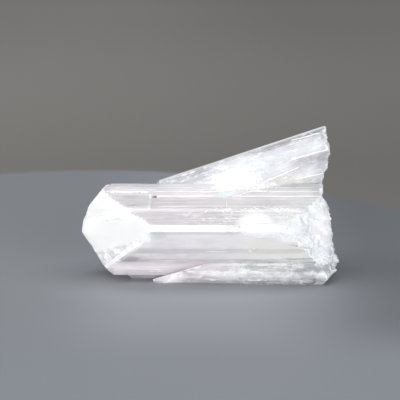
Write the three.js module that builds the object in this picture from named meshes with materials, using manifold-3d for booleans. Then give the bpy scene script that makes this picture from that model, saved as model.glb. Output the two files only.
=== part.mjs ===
// A danburite crystal specimen: a stout striated prism lying on its side with its wedge-shaped
// tip at -X, a second prism grown through its back that climbs towards +X, and thin slabs of
// parallel growth under it, all broken off together at +X. It is one solid.
// Units are millimetres, +Z up, origin at the middle of the bounding box's base.
import * as THREE from "three";
import { ConvexGeometry } from "three/addons/geometries/ConvexGeometry.js";
import { ImprovedNoise } from "three/addons/math/ImprovedNoise.js";
import { mergeVertices } from "three/addons/utils/BufferGeometryUtils.js";
import Module from "manifold-3d";

const wasm = await Module();
wasm.setup();

// ---- Driving dimensions -------------------------------------------------------------------

// Danburite's orthorhombic cell, in angstrom: only the ratios matter here.
const CELL = { a: 8.04, b: 8.77, c: 7.74 };

const ROLL = THREE.MathUtils.degToRad(10); // main prism's turn about its length, front edge up
const AXIS_HEIGHT = 12.9; // main prism's axis above the surface that the specimen lies on
const PRISM_LENGTH = 80; // before the broken end is cut
const REACH = 60; // half the width of the blocks that cut the blanks

// A prism's section is four chains of faces, each from an edge at the front or back up to the top
// or down to the underside. An entry is [h, k, height where the face (h k 0) ends].
// The faces (1 1 0) and (1 2 0) take turns, which is what makes the long ledges.
const MAIN = {
  frontEdge: 13.6,
  backEdge: -14,
  frontUp: [
    [1, 0, 0.9], [1, 2, 4.2], [1, 1, 5.0], [1, 2, 7.9], [1, 0, 8.15], [2, 1, 9.1], [1, 0, 9.35],
    [1, 1, 11.3],
  ],
  backUp: [[1, 0, 0.7], [1, 1, 3.4], [1, 2, 4.9], [1, 1, 8.0], [1, 2, 8.9], [1, 1, 11.3]],
  frontDown: [
    [1, 0, 0.6], [1, 1, 5.0], [1, 2, 6.2], [1, 1, 7.6], [1, 2, 8.7], [1, 1, 9.6], [2, 1, 11.8],
  ],
  backDown: [[1, 0, 0.6], [1, 1, 4.2], [1, 2, 5.6], [1, 1, 8.8], [1, 2, 9.8], [1, 1, 11.8]],
  tip: -32.5, // where the ridge of the termination is, along X
  ridgeDepth: -5.1, // that ridge lies behind the axis
  domeTop: [0, 0.99, 1, 3.9], // [h, k, l, height where this face meets the ridge]
  domeBottom: [0, 0.72, 1, 1],
  lean: 0,
  swing: 0,
  roll: 0,
  centre: [0, 0, 0],
};

const SECOND = {
  frontEdge: 8.6,
  backEdge: -8.2,
  frontUp: [[1, 0, 0.4], [1, 1, 2.1], [1, 2, 3.4], [1, 1, 5.0], [1, 2, 5.6], [1, 1, 7.4]],
  backUp: [[1, 0, 0.4], [1, 1, 3.0], [1, 2, 3.9], [1, 1, 7.4]],
  frontDown: [[1, 0, 3.0], [2, 1, 9.0], [1, 1, 11.0], [1, 2, 12.6]],
  backDown: [[1, 0, 1.8], [2, 1, 5.2], [1, 1, 8.8], [2, 1, 11.0], [1, 1, 12.6]],
  tip: -17.2,
  ridgeDepth: 0.5,
  domeTop: [0, 1, 1, 1.2],
  domeBottom: [0, 1, 1, 1.2],
  lean: THREE.MathUtils.degToRad(18.2), // climbs towards +X
  swing: THREE.MathUtils.degToRad(6.8), // and away from the front
  roll: THREE.MathUtils.degToRad(-20),
  centre: [0, 8.5, -6.1],
};

// Three slabs that grew parallel with the main prism: the plate it rests on, which tapers away
// towards the tip, a step along its underside, and a step down its back.
const PLATE = {
  frontEdge: 5.6,
  backEdge: -8.6,
  frontUp: [[1, 0, 0.5], [2, 1, 2.5], [1, 2, 3.4], [2, 1, 6]],
  backUp: [[2, 1, 6]],
  frontDown: [[1, 0, 1.6], [2, 1, 3.4]],
  backDown: [[2, 1, 1.6], [1, 1, 3.4]],
  tip: -14.3,
  ridgeDepth: 3.4,
  domeFront: 2.2, // h of the face (h 0 1) on the ridge's front side, where it isn't 1
  domeTop: [0, 3.8, 1, -1.6],
  domeBottom: [0, 1, 1, 1.8],
  lean: THREE.MathUtils.degToRad(-0.2),
  swing: THREE.MathUtils.degToRad(-2.5),
  roll: 0,
  centre: [0, -11.3, -0.5],
};
const UNDER_STEP = {
  frontEdge: 3.1,
  backEdge: -6.4,
  frontUp: [[1, 1, 4]],
  backUp: [[1, 1, 4]],
  frontDown: [[1, 0, 0.8], [1, 1, 2.4], [1, 2, 3.3]],
  backDown: [[1, 0, 0.8], [1, 1, 3.3]],
  tip: -23,
  ridgeDepth: 0,
  domeTop: [0, 1, 1, 0.5],
  domeBottom: [0, 1.2, 1, 0.3],
  lean: THREE.MathUtils.degToRad(-1),
  swing: 0,
  roll: 0,
  centre: [0, -9.9, -1.6],
};
const BACK_STEP = {
  frontEdge: 6,
  backEdge: -7.4,
  frontUp: [[1, 1, 4]],
  backUp: [[1, 0, 0.5], [1, 1, 2.2], [1, 2, 3.1], [1, 1, 4]],
  frontDown: [[1, 1, 5.5]],
  backDown: [[1, 0, 0.4], [1, 1, 2.6], [1, 2, 3.8], [1, 1, 5.5]],
  tip: -21.4,
  ridgeDepth: -3,
  domeTop: [0, 0.9, 1, 1],
  domeBottom: [0, 1, 1, 0.6],
  lean: THREE.MathUtils.degToRad(0.6),
  swing: 0,
  roll: THREE.MathUtils.degToRad(-2),
  centre: [0, -4.6, -6.4],
};
const SLABS = [PLATE, UNDER_STEP, BACK_STEP];

// The broken end's outline seen from the front: [height over the main axis, X].
const BREAK_OUTLINE = [
  [-16, 26], [-13.9, 28.7], [-12.7, 30.2], [-11.5, 31.1], [-10.2, 32.2], [-8.4, 32.5],
  [-4.6, 31.6], [1.5, 31], [5.2, 30.4], [7.9, 28.8], [11.5, 28.7], [15.3, 29.9], [16.4, 30.7],
  [19.8, 31.4], [21.7, 31.2], [22.9, 30.6], [25.7, 29.9], [30, 29.2],
];
const FRONT_CHIP = { depth: 2.2, x: 29.0, slope: 0.86, rise: 0.1 }; // slanting break at the front
const CHIP_FOOT = { from: 9, to: 12.5, x: 3.5 }; // which reaches less far back down at the plate
const BACK_CHIP = { depth: -9.5, x: 31.5, slope: 0.55 }; // and a smaller one at the back
const BREAK_CELL = 1.25; // grid of the broken surface
const BREAK_ROUGHNESS = [[6.5, 0.75], [2.6, 0.45]]; // [size of a lump, its height]
// The lower edge of the termination is bruised off along a plane: a point on it and its normal.
const TIP_BRUISE = { point: [-27.2, -8.6, 1.5], normal: [-0.62, -0.62, 0.48] };

// ---- Crystal faces ------------------------------------------------------------------------
// In a crystal's own frame x runs with its a axis, y with b and z with c, towards its tip.

function faceNormal(h, k, l) {
  return new THREE.Vector3(h / CELL.a, k / CELL.b, l / CELL.c).normalize();
}

// Walks one chain of prism faces and returns its corners, from the edge to the last height.
function chain(edge, faces, side, up) {
  const corners = [];
  let depth = Math.abs(edge);
  let height = 0;
  for (const [h, k, end] of faces) {
    const n = faceNormal(h, k, 0);
    depth -= ((end - height) * n.y) / n.x;
    height = end;
    corners.push(new THREE.Vector2(side * depth, up * height));
  }
  return corners;
}

function sectionOf(crystal) {
  const frontUp = chain(crystal.frontEdge, crystal.frontUp, 1, 1);
  const backUp = chain(crystal.backEdge, crystal.backUp, -1, 1);
  const backDown = chain(crystal.backEdge, crystal.backDown, -1, -1);
  const frontDown = chain(crystal.frontEdge, crystal.frontDown, 1, -1);
  return new THREE.Shape([
    ...frontUp,
    ...backUp.reverse(),
    ...backDown,
    ...frontDown.reverse(),
  ]);
}

// ---- Solids -------------------------------------------------------------------------------

function toSolid(geometry, matrix = new THREE.Matrix4()) {
  const bare = geometry.clone().applyMatrix4(matrix);
  bare.deleteAttribute("normal");
  bare.deleteAttribute("uv");
  const merged = mergeVertices(bare, 1e-4);
  return new wasm.Manifold(
    new wasm.Mesh({
      numProp: 3,
      vertProperties: new Float32Array(merged.attributes.position.array),
      triVerts: new Uint32Array(merged.index.array),
    }),
  );
}

function toGeometry(solid) {
  const mesh = solid.getMesh();
  return new THREE.BufferGeometry()
    .setAttribute("position", new THREE.BufferAttribute(mesh.vertProperties, 3))
    .setIndex(new THREE.BufferAttribute(mesh.triVerts, 1));
}

// The convex body that lies behind all of these planes, each { normal, offset }.
function behindPlanes(planes) {
  const corners = [];
  const equations = new THREE.Matrix3();
  for (let i = 0; i < planes.length; i++)
    for (let j = i + 1; j < planes.length; j++)
      for (let k = j + 1; k < planes.length; k++) {
        const [p, q, r] = [planes[i], planes[j], planes[k]];
        equations.set(
          ...p.normal.toArray(), ...q.normal.toArray(), ...r.normal.toArray(),
        );
        if (Math.abs(equations.determinant()) < 1e-6) continue;
        const corner = new THREE.Vector3(p.offset, q.offset, r.offset);
        corner.applyMatrix3(equations.invert());
        if (planes.every((o) => o.normal.dot(corner) < o.offset + 1e-6)) corners.push(corner);
      }
  return new ConvexGeometry(corners);
}

function planeThrough(normal, point) {
  return { normal, offset: normal.dot(point) };
}

// The four faces of the wedge-shaped tip, closed off far away on the other sides.
function tipEnvelope(crystal) {
  const ridge = new THREE.Vector3(crystal.ridgeDepth, 0, 0);
  const [, kTop, lTop, topHeight] = crystal.domeTop;
  const [, kBottom, lBottom, bottomHeight] = crystal.domeBottom;
  const far = [
    [1, 0, 0, REACH], [-1, 0, 0, REACH], [0, 1, 0, REACH], [0, -1, 0, REACH],
    [0, 0, -1, PRISM_LENGTH + REACH],
  ];
  return behindPlanes([
    planeThrough(faceNormal(crystal.domeFront ?? 1, 0, 1), ridge),
    planeThrough(faceNormal(-1, 0, 1), ridge),
    planeThrough(faceNormal(0, kTop, lTop), new THREE.Vector3(0, topHeight, 0)),
    planeThrough(faceNormal(0, -kBottom, lBottom), new THREE.Vector3(0, -bottomHeight, 0)),
    ...far.map(([x, y, z, offset]) => ({ normal: new THREE.Vector3(x, y, z), offset })),
  ]);
}

// Turns a crystal's own frame into the main prism's: X along it, Y up its b axis, Z to the front.
function placement(crystal) {
  const ownToMain = new THREE.Matrix4().makeBasis(
    new THREE.Vector3(0, 0, 1),
    new THREE.Vector3(0, 1, 0),
    new THREE.Vector3(-1, 0, 0),
  );
  const turn = new THREE.Matrix4().makeRotationFromEuler(
    new THREE.Euler(0, crystal.swing, crystal.lean, "YZX"),
  );
  const roll = new THREE.Matrix4().makeRotationX(-crystal.roll);
  const toTip = new THREE.Matrix4().makeTranslation(crystal.tip, 0, 0);
  return new THREE.Matrix4()
    .makeTranslation(...crystal.centre)
    .multiply(turn)
    .multiply(roll)
    .multiply(toTip)
    .multiply(ownToMain);
}

function prism(crystal) {
  const blank = new THREE.ExtrudeGeometry(sectionOf(crystal), {
    depth: PRISM_LENGTH,
    bevelEnabled: false,
  });
  blank.translate(0, 0, -PRISM_LENGTH);
  const matrix = placement(crystal);
  return toSolid(blank, matrix).intersect(toSolid(tipEnvelope(crystal), matrix));
}

// ---- The broken end -----------------------------------------------------------------------

function outlineAt(height) {
  const i = BREAK_OUTLINE.findIndex(([h]) => h > height);
  if (i < 1) return BREAK_OUTLINE[i < 0 ? BREAK_OUTLINE.length - 1 : 0][1];
  const [[h0, x0], [h1, x1]] = [BREAK_OUTLINE[i - 1], BREAK_OUTLINE[i]];
  return THREE.MathUtils.lerp(x0, x1, (height - h0) / (h1 - h0));
}

const noise = new ImprovedNoise();

function breakAt(height, depth) {
  const foot = CHIP_FOOT.x * THREE.MathUtils.smoothstep(-height, CHIP_FOOT.from, CHIP_FOOT.to);
  const front =
    FRONT_CHIP.x - FRONT_CHIP.slope * (depth - FRONT_CHIP.depth) - FRONT_CHIP.rise * height + foot;
  const back = BACK_CHIP.x + BACK_CHIP.slope * (depth - BACK_CHIP.depth);
  const whole = Math.min(outlineAt(height), front, back);
  return BREAK_ROUGHNESS.reduce(
    (x, [size, lump]) => x - lump * Math.abs(noise.noise(height / size, depth / size, size)),
    whole,
  );
}

// Everything beyond the broken surface: a block whose near side is that surface.
function beyondBreak() {
  const cells = Math.round((2 * REACH) / BREAK_CELL);
  const block = new THREE.BoxGeometry(REACH, 2 * REACH, 2 * REACH, 1, cells, cells);
  const points = block.attributes.position;
  for (let i = 0; i < points.count; i++)
    if (points.getX(i) < 0) points.setX(i, breakAt(points.getY(i), points.getZ(i)));
    else points.setX(i, 2 * REACH);
  return toSolid(block);
}

// A block that takes off what lies beyond a plane.
function beyondPlane({ point, normal }) {
  const block = new THREE.BoxGeometry(2 * REACH, 2 * REACH, 2 * REACH).translate(0, 0, REACH);
  const turn = new THREE.Quaternion().setFromUnitVectors(
    new THREE.Vector3(0, 0, 1),
    new THREE.Vector3(...normal).normalize(),
  );
  return toSolid(
    block,
    new THREE.Matrix4().compose(new THREE.Vector3(...point), turn, new THREE.Vector3(1, 1, 1)),
  );
}

// The main prism's frame in the row frame: its front edge turned up, its axis at its height.
function rowPlacement() {
  const stand = new THREE.Matrix4().makeRotationX(Math.PI / 2 - ROLL);
  return new THREE.Matrix4().makeTranslation(0, 0, AXIS_HEIGHT).multiply(stand);
}

function specimen() {
  const stem = prism(MAIN).subtract(beyondPlane(TIP_BRUISE));
  const grown = SLABS.reduce((whole, slab) => whole.add(prism(slab)), stem.add(prism(SECOND)))
    .subtract(beyondBreak());
  const standing = toSolid(toGeometry(grown), rowPlacement());
  return standing.subtract(beyondPlane({ point: [0, 0, 0], normal: [0, 0, -1] }));
}

// ---- The scene ----------------------------------------------------------------------------

const crystal = new THREE.Mesh(
  toGeometry(specimen()),
  new THREE.MeshStandardMaterial({
    name: "danburite",
    color: 0xece6ea,
    roughness: 0.12,
    metalness: 0,
    transparent: true,
    opacity: 0.6,
    flatShading: true,
  }),
);
crystal.name = "danburite_crystal";
const bounds = new THREE.Box3().setFromBufferAttribute(crystal.geometry.attributes.position);
const middle = bounds.getCenter(new THREE.Vector3());
crystal.position.set(-middle.x, -middle.y, -bounds.min.z);

const specimenGroup = new THREE.Group();
specimenGroup.name = "danburite_specimen";
specimenGroup.add(crystal);

export default specimenGroup;
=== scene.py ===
# %% [markdown]
# # A danburite crystal
#
# Danburite grows as stout, glassy prisms with fine ledges along their sides and a wedge-shaped
# tip. This specimen is a main prism lying on its side, a second prism grown through its back, and
# a few slabs that grew parallel with them, all broken off at one end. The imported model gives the
# solid at its real size; here it gets the fine surface, the finish, and what is sealed inside it.

import math

import bmesh
import bpy
import numpy as np
from mathutils import Matrix, Vector


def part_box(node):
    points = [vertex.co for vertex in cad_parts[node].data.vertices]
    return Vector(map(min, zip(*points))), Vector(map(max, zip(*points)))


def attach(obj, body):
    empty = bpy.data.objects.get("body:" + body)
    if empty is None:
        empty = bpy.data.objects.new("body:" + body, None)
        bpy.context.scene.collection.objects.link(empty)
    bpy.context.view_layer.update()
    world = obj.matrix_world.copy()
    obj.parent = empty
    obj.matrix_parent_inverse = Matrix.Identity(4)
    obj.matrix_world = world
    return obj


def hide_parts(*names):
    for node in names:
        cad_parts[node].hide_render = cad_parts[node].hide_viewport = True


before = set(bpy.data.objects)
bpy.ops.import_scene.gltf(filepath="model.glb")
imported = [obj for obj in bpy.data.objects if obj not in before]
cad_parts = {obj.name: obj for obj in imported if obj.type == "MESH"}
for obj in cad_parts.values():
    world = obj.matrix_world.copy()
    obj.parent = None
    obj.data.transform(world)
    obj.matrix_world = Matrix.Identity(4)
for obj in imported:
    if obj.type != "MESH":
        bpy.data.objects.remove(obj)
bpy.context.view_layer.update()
NODE = "danburite_crystal"
BODY = "root"
BOX_LOW = np.array(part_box(NODE)[0])
print("the CAD box starts at:", BOX_LOW)

# %% [markdown]
# ## The crystals as sections and directions
#
# Crystal faces are named by three small numbers (h k l), and the unit cell turns them into
# directions: a face's normal is (h/a, k/b, l/c). So a prism can be written down as a walk round its
# section, one face after another, each ending at a given height, and every angle between faces is
# true. The numbers below are in millimetres and degrees; MM turns millimetres into metres.

# %% Unit cell and driving dimensions
MM = 0.001
CELL = np.array([8.04, 8.77, 7.74])
ROLL = math.radians(10)
AXIS_HEIGHT = 12.9
OVERRUN = 6.0  # how far a blank runs past its tip
PAST_BREAK = 37.0  # the X that every blank reaches before the broken end is cut

MAIN = dict(
    front=13.6, back=14.0,
    front_up=[(1, 0, 0.9), (1, 2, 4.2), (1, 1, 5.0), (1, 2, 7.9), (1, 0, 8.15), (2, 1, 9.1),
              (1, 0, 9.35), (1, 1, 11.3)],
    back_up=[(1, 0, 0.7), (1, 1, 3.4), (1, 2, 4.9), (1, 1, 8.0), (1, 2, 8.9), (1, 1, 11.3)],
    front_down=[(1, 0, 0.6), (1, 1, 5.0), (1, 2, 6.2), (1, 1, 7.6), (1, 2, 8.7), (1, 1, 9.6),
                (2, 1, 11.8)],
    back_down=[(1, 0, 0.6), (1, 1, 4.2), (1, 2, 5.6), (1, 1, 8.8), (1, 2, 9.8), (1, 1, 11.8)],
    tip=-32.5, ridge_depth=-5.1, dome_top=(0.99, 3.9), dome_bottom=(0.72, 1.0),
    lean=0, swing=0, roll=0, centre=(0, 0, 0), calm=(-7.6, -0.5),
    layers=[  # layers that stopped growing: side, low and high edge, rise, end in X, how ragged
        (1, 4.6, 8.4, 0.22, -14.9, 0),
        (1, 1.2, 3.0, 0.1, 17.0, 3.0),
        (-1, 1.0, 5.0, 0.3, -6.0, 4.0),
        (-1, -6.2, -1.0, 0.25, 10.0, 4.0),
    ],
)
SECOND = dict(
    front=8.6, back=8.2,
    front_up=[(1, 0, 0.4), (1, 1, 2.1), (1, 2, 3.4), (1, 1, 5.0), (1, 2, 5.6), (1, 1, 7.4)],
    back_up=[(1, 0, 0.4), (1, 1, 3.0), (1, 2, 3.9), (1, 1, 7.4)],
    front_down=[(1, 0, 3.0), (2, 1, 9.0), (1, 1, 11.0), (1, 2, 12.6)],
    back_down=[(1, 0, 1.8), (2, 1, 5.2), (1, 1, 8.8), (2, 1, 11.0), (1, 1, 12.6)],
    tip=-16.9, ridge_depth=0.5, dome_top=(1, 1.2), dome_bottom=(1, 1.2),
    lean=18.2, swing=6.8, roll=-20, centre=(0, 8.85, -6.1),
    layers=[
        (1, 0.3, 3.6, 0.14, 13.0, 3.0),
        (-1, -8.0, -2.0, 0.3, 4.0, 4.0),
        (-1, 1.0, 4.5, 0.2, 16.0, 4.0),
    ],
)
PLATE = dict(
    front=5.6, back=8.6,
    front_up=[(1, 0, 0.5), (2, 1, 2.5), (1, 2, 3.4), (2, 1, 6.0)],
    back_up=[(2, 1, 6.0)],
    front_down=[(1, 0, 1.6), (2, 1, 3.4)],
    back_down=[(2, 1, 1.6), (1, 1, 3.4)],
    tip=-14.3, ridge_depth=3.4, dome_top=(3.8, -1.6), dome_bottom=(1.0, 1.8), steep_front=2.2,
    lean=-0.2, swing=-2.5, roll=0, centre=(0, -11.3, -0.5),
)
UNDER_STEP = dict(
    front=3.1, back=6.4,
    front_up=[(1, 1, 4.0)],
    back_up=[(1, 1, 4.0)],
    front_down=[(1, 0, 0.8), (1, 1, 2.4), (1, 2, 3.3)],
    back_down=[(1, 0, 0.8), (1, 1, 3.3)],
    tip=-23.0, ridge_depth=0, dome_top=(1, 0.5), dome_bottom=(1.2, 0.3),
    lean=-1, swing=0, roll=0, centre=(0, -9.9, -1.6),
)
BACK_STEP = dict(
    front=6.0, back=7.4,
    front_up=[(1, 1, 4.0)],
    back_up=[(1, 0, 0.5), (1, 1, 2.2), (1, 2, 3.1), (1, 1, 4.0)],
    front_down=[(1, 1, 5.5)],
    back_down=[(1, 0, 0.4), (1, 1, 2.6), (1, 2, 3.8), (1, 1, 5.5)],
    tip=-21.4, ridge_depth=-3, dome_top=(0.9, 1), dome_bottom=(1, 0.6),
    lean=0.6, swing=0, roll=-2, centre=(0, -4.6, -6.4),
)


# %% From a face's name to corners of the section
def fall(h, k):
    """How far the face (h k 0) falls back in depth for each unit of height."""
    normal = np.array([h, k]) / CELL[:2]
    return normal[1] / normal[0]


def chain(edge, faces):
    """Corners (depth, height) of one run of faces: each face ends at its height, having fallen back
    by its slope times the height it climbs."""
    ends = np.array([end for _, _, end in faces])
    rises = np.diff(ends, prepend=0.0)
    slopes = np.array([fall(h, k) for h, k, _ in faces])
    return np.stack([edge - np.cumsum(rises * slopes), ends], axis=1)


def section(crystal):
    """The closed outline of a prism: up its front, down its back, and on round underneath."""
    front_up = chain(crystal["front"], crystal["front_up"])
    back_up = chain(crystal["back"], crystal["back_up"]) * (-1, 1)
    back_down = chain(crystal["back"], crystal["back_down"]) * (-1, -1)
    front_down = chain(crystal["front"], crystal["front_down"]) * (1, -1)
    return np.concatenate([front_up, back_up[::-1], back_down, front_down[::-1]])


print("corners of the main section:", len(section(MAIN)))


# %% Where each crystal stands
def turn(axis, angle):
    """The 3 by 3 matrix that turns by an angle round one axis."""
    i, j = [(1, 2), (2, 0), (0, 1)][axis]
    matrix = np.eye(3)
    matrix[i, i] = matrix[j, j] = math.cos(angle)
    matrix[j, i], matrix[i, j] = math.sin(angle), -math.sin(angle)
    return matrix


# A crystal's own axes are depth (a), height (b) and length towards its tip (c). In the main
# prism's frame length runs backwards along X, height is Y and depth is Z.
OWN_TO_MAIN = np.array([[0, 0, -1], [0, 1, 0], [1, 0, 0]], float)
STAND = turn(0, math.pi / 2 - ROLL)
FRONT_CORNER = STAND @ np.array([0, -MAIN["front_down"][0][2], MAIN["front"]])
SHIFT = np.array([BOX_LOW[0] / MM - MAIN["tip"], BOX_LOW[1] / MM - FRONT_CORNER[1], AXIS_HEIGHT])


def to_row(points):
    """From the main prism's frame to the part's: stood up, and moved into the CAD box."""
    return points @ STAND.T + SHIFT


def attitude(crystal):
    """The 3 by 3 matrix that turns a crystal in the main prism's frame."""
    lean, swing, roll = (math.radians(crystal[key]) for key in ("lean", "swing", "roll"))
    return turn(1, swing) @ turn(2, lean) @ turn(0, -roll)


def placed(crystal, points):
    """From a crystal's own axes to the main prism's frame."""
    own = points @ OWN_TO_MAIN.T + (crystal["tip"], 0, 0)
    return own @ attitude(crystal).T + crystal["centre"]


print("shift from the main prism's axis to the part's origin:", SHIFT)

# %% [markdown]
# ## Noise
#
# Nothing on a natural crystal is quite even, so most shapes are pushed about by gradient noise:
# each corner of a grid of unit cells gets a random direction, and a point blends the eight corners
# round it. It works on whole arrays at once, and a fixed seed makes it the same every time.

# %% Gradient noise on arrays
TABLE_SIZE = 256
table_random = np.random.default_rng(1839)
ORDER = np.tile(table_random.permutation(TABLE_SIZE), 3)
DIRECTIONS = table_random.normal(size=(TABLE_SIZE, 3))
DIRECTIONS /= np.linalg.norm(DIRECTIONS, axis=1, keepdims=True)


def noise(points, size=1.0, seed=0):
    """Gradient noise, about -1 to 1, with lumps of the given size: the sum over a cell's corners of
    (direction . offset) weighted by 6t^5 - 15t^4 + 10t^3 on each axis."""
    scaled = np.asarray(points, float) / size + 17.3 * seed
    cell = np.floor(scaled).astype(int)
    offset = scaled - cell
    weight = offset**3 * (offset * (offset * 6 - 15) + 10)
    total = np.zeros(scaled.shape[:-1])
    for corner in np.ndindex(2, 2, 2):
        lattice = (cell + corner) % TABLE_SIZE
        index = ORDER[ORDER[ORDER[lattice[..., 0]] + lattice[..., 1]] + lattice[..., 2]]
        share = np.prod(np.where(corner, weight, 1 - weight), axis=-1)
        total += share * np.sum(DIRECTIONS[index] * (offset - corner), axis=-1)
    return total * 1.7


def smooth(low, high, value):
    """0 below low, 1 above high, and a smooth S between them."""
    t = np.clip((value - low) / (high - low), 0, 1)
    return t * t * (3 - 2 * t)


def spread(*columns):
    """Stacks arrays as the x, y and z of points, letting each have any shape that fits."""
    return np.stack(np.broadcast_arrays(*columns), axis=-1)


sample = noise(table_random.uniform(-50, 50, (20000, 3)))
print(f"noise runs from {sample.min():.2f} to {sample.max():.2f}")

# %% [markdown]
# ## Solids from grids of points
#
# Every shape starts as a grid of points: rows one after another, each a closed ring. Quads join
# neighbours and caps close the ends, which makes a solid that Boolean modifiers can join and cut.
# An index on each face remembers which finish it gets, and the Boolean carries it through.

# %% Meshes and cuts
FINISHES = ["growth", "second_growth", "tip_face", "broken", "etched"]


def ring_faces(rows, columns, caps=(True, True)):
    """Quads between closed rings, and a cap on the first ring and on the last unless told not to."""
    row, column = np.meshgrid(np.arange(rows - 1), np.arange(columns), indexing="ij")
    after = (column + 1) % columns
    quads = np.stack([row * columns + column, row * columns + after,
                      (row + 1) * columns + after, (row + 1) * columns + column], axis=-1)
    ends = [np.arange(columns)[::-1], (rows - 1) * columns + np.arange(columns)]
    return quads.reshape(-1, 4).tolist() + [end.tolist() for end, cap in zip(ends, caps) if cap]


def plain_mesh(name, points, faces):
    """A mesh object from points in the part's frame, in millimetres."""
    mesh = bpy.data.meshes.new(name)
    mesh.from_pydata((points.reshape(-1, 3) * MM).tolist(), [], faces)
    made = bpy.data.objects.new(name, mesh)
    bpy.context.scene.collection.objects.link(made)
    return made


def new_mesh(name, points, faces, finish="growth", merge=False):
    """The same with a finish on its faces, which are turned out."""
    made = plain_mesh(name, points, faces)
    mesh = made.data
    for each in FINISHES:
        mesh.materials.append(bpy.data.materials.get(each) or bpy.data.materials.new(each))
    work = bmesh.new()
    work.from_mesh(mesh)
    if merge:
        bmesh.ops.remove_doubles(work, verts=work.verts, dist=1e-7)
    bmesh.ops.recalc_face_normals(work, faces=work.faces)
    work.to_mesh(mesh)
    work.free()
    mesh.polygons.foreach_set("material_index", [FINISHES.index(finish)] * len(mesh.polygons))
    return made


def combine(base, operation, tool):
    """Joins, cuts or trims base with tool by a Boolean modifier, keeps the result, drops the tool."""
    step = base.modifiers.new(operation, "BOOLEAN")
    step.operation = operation
    step.object = tool
    step.solver = "MANIFOLD"
    bpy.context.view_layer.update()
    result = base.evaluated_get(bpy.context.evaluated_depsgraph_get())
    mesh = bpy.data.meshes.new_from_object(result)
    base.modifiers.clear()
    base.data = mesh
    print(f"{base.name} {operation.lower()} {tool.name}: {len(mesh.polygons)} faces")
    bpy.data.objects.remove(tool)
    return base


# %% [markdown]
# ## Ledges along a prism
#
# A prism face is never one plane. It is dozens of narrow strips, each a little higher or lower than
# the next, that run parallel with the crystal and fade in and out along it. Their edges catch the
# light, so they are real here: each face of the section is divided into strips, and each row of the
# prism raises or lowers its strips by noise that changes slowly along the length.


# %% Strips of a section
LIP = 0.012  # half the width of the little wall between two ledges
RUB = 0.09  # how far in from its edge a ledge is worn white
CORNER_RUB = 0.22  # the same along a face's own edges
LEDGES = [0.15, 0.4, 0.8, 2.0]  # the heights that strips are drawn from
SWAY = 0.1  # how far whole faces wander
LAYER_WALL = 0.06  # the length of the wall at the end of a layer
CALM_WIDTH, CALM_LEDGE = 5, 0.5  # how much wider, and how much as high, where growth was even


def strips(outline, width, random, calm):
    """Divides each face of an outline into strips of roughly a width, with four points each: two
    edges, and two just inside them. Front faces between the calm heights get wider, lower strips,
    and a face's first and last strip have no height, so its corners stay true. Returns each point's
    place and outward direction, and its strip's number, height and middle."""
    ahead = np.roll(outline, -1, axis=0) - outline
    lengths = np.linalg.norm(ahead, axis=1)
    parts = []
    for face, (corner, way, length) in enumerate(zip(outline, ahead, lengths)):
        face_depth, face_height = corner + way / 2
        even = face_depth > 0 and calm[0] < face_height < calm[1]
        count = max(1, round(length / (CALM_WIDTH * width if even else width)))
        cuts = (np.arange(1, count) + random.uniform(-0.42, 0.42, count - 1)) / count
        ends = np.concatenate([[0], cuts, [1]])
        low, high = ends[:-1] + LIP / length, ends[1:] - LIP / length
        worn = np.full((2, count), RUB)
        worn[0, 0] = worn[1, -1] = CORNER_RUB
        after, before = np.minimum(worn / length, (high - low) / 3)
        shares = np.stack([low, low + after, high - before, high], axis=1)
        height = random.uniform(-1, 1, count) * random.choice(LEDGES, count)
        height = CALM_LEDGE * height if even else height
        height[[0, -1]] = 0
        middle = corner + shares.mean(axis=1, keepdims=True) * way
        normal = np.array([way[1], -way[0]]) / length
        parts.append([corner + shares.reshape(-1, 1) * way, np.tile(normal, (4 * count, 1)),
                      np.repeat(np.arange(count) + 100 * face, 4), np.repeat(height, 4),
                      np.repeat(middle, 4, axis=0)])
    return [np.concatenate(each) for each in zip(*parts)]


def prism(name, crystal, seed, finish, width=0.5, step=0.07, row=1.0, rough=0.0):
    """A prism with ledges. The point of strip i at length z is section point + outward *
    (step * height_i * fade(i, z) + sway + roughness + layers), where fade is slow noise sharpened
    to an S, and a layer raises the strips between two heights as far as its end."""
    random = np.random.default_rng(seed)
    points, outward, numbers, heights, middles = strips(section(crystal), width, random,
                                                        crystal.get("calm", (0, 0)))
    length = (PAST_BREAK - crystal["tip"]) / math.cos(math.radians(crystal["lean"]))
    layers = crystal.get("layers", [])
    ends = np.array([crystal["tip"] - layer[4] for layer in layers])
    along = np.concatenate([np.arange(OVERRUN, -length, -row), ends, ends - LAYER_WALL])
    along = np.sort(along)[::-1]
    place = spread(along[:, None] / 9.0, numbers[None] * 3.7, seed)
    fade = smooth(-0.25, 0.25, noise(place))
    ground = spread(along[:, None], points[None, :, 0], points[None, :, 1])
    lift = step * heights * fade + SWAY * noise(ground / (14, 9, 9)) + rough * noise(ground, 1.6, seed)
    for (side, low, high, rise, _, ragged), end in zip(layers, ends):
        covered = (np.sign(middles[:, 0]) == side) & (middles[:, 1] > low) & (middles[:, 1] < high)
        own_end = end - LAYER_WALL / 2 + ragged * noise(spread(numbers * 3.7, seed, 0.5))
        lift += rise * covered * (along[:, None] > own_end)
    raised = points + outward * lift[..., None]
    own = np.concatenate([raised, np.broadcast_to(along[:, None, None], (*fade.shape, 1))], axis=-1)
    shape = to_row(placed(crystal, own))
    return new_mesh(name, shape, ring_faces(*fade.shape), finish)


# %% [markdown]
# ## The wedge-shaped tip
#
# Four faces close a danburite prism: two broad ones meet in a ridge along b, and two small ones
# cut off its ends, like a hip roof. A hip roof is a profile carried along a path: a rectangle that
# starts as the ridge and widens evenly as it goes down. So the four hips are grid lines, and stay
# straight however much the faces between them are carved.


# %% The roof that trims a prism
ROOF_LENGTH = 110  # down past the end of any prism


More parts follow.
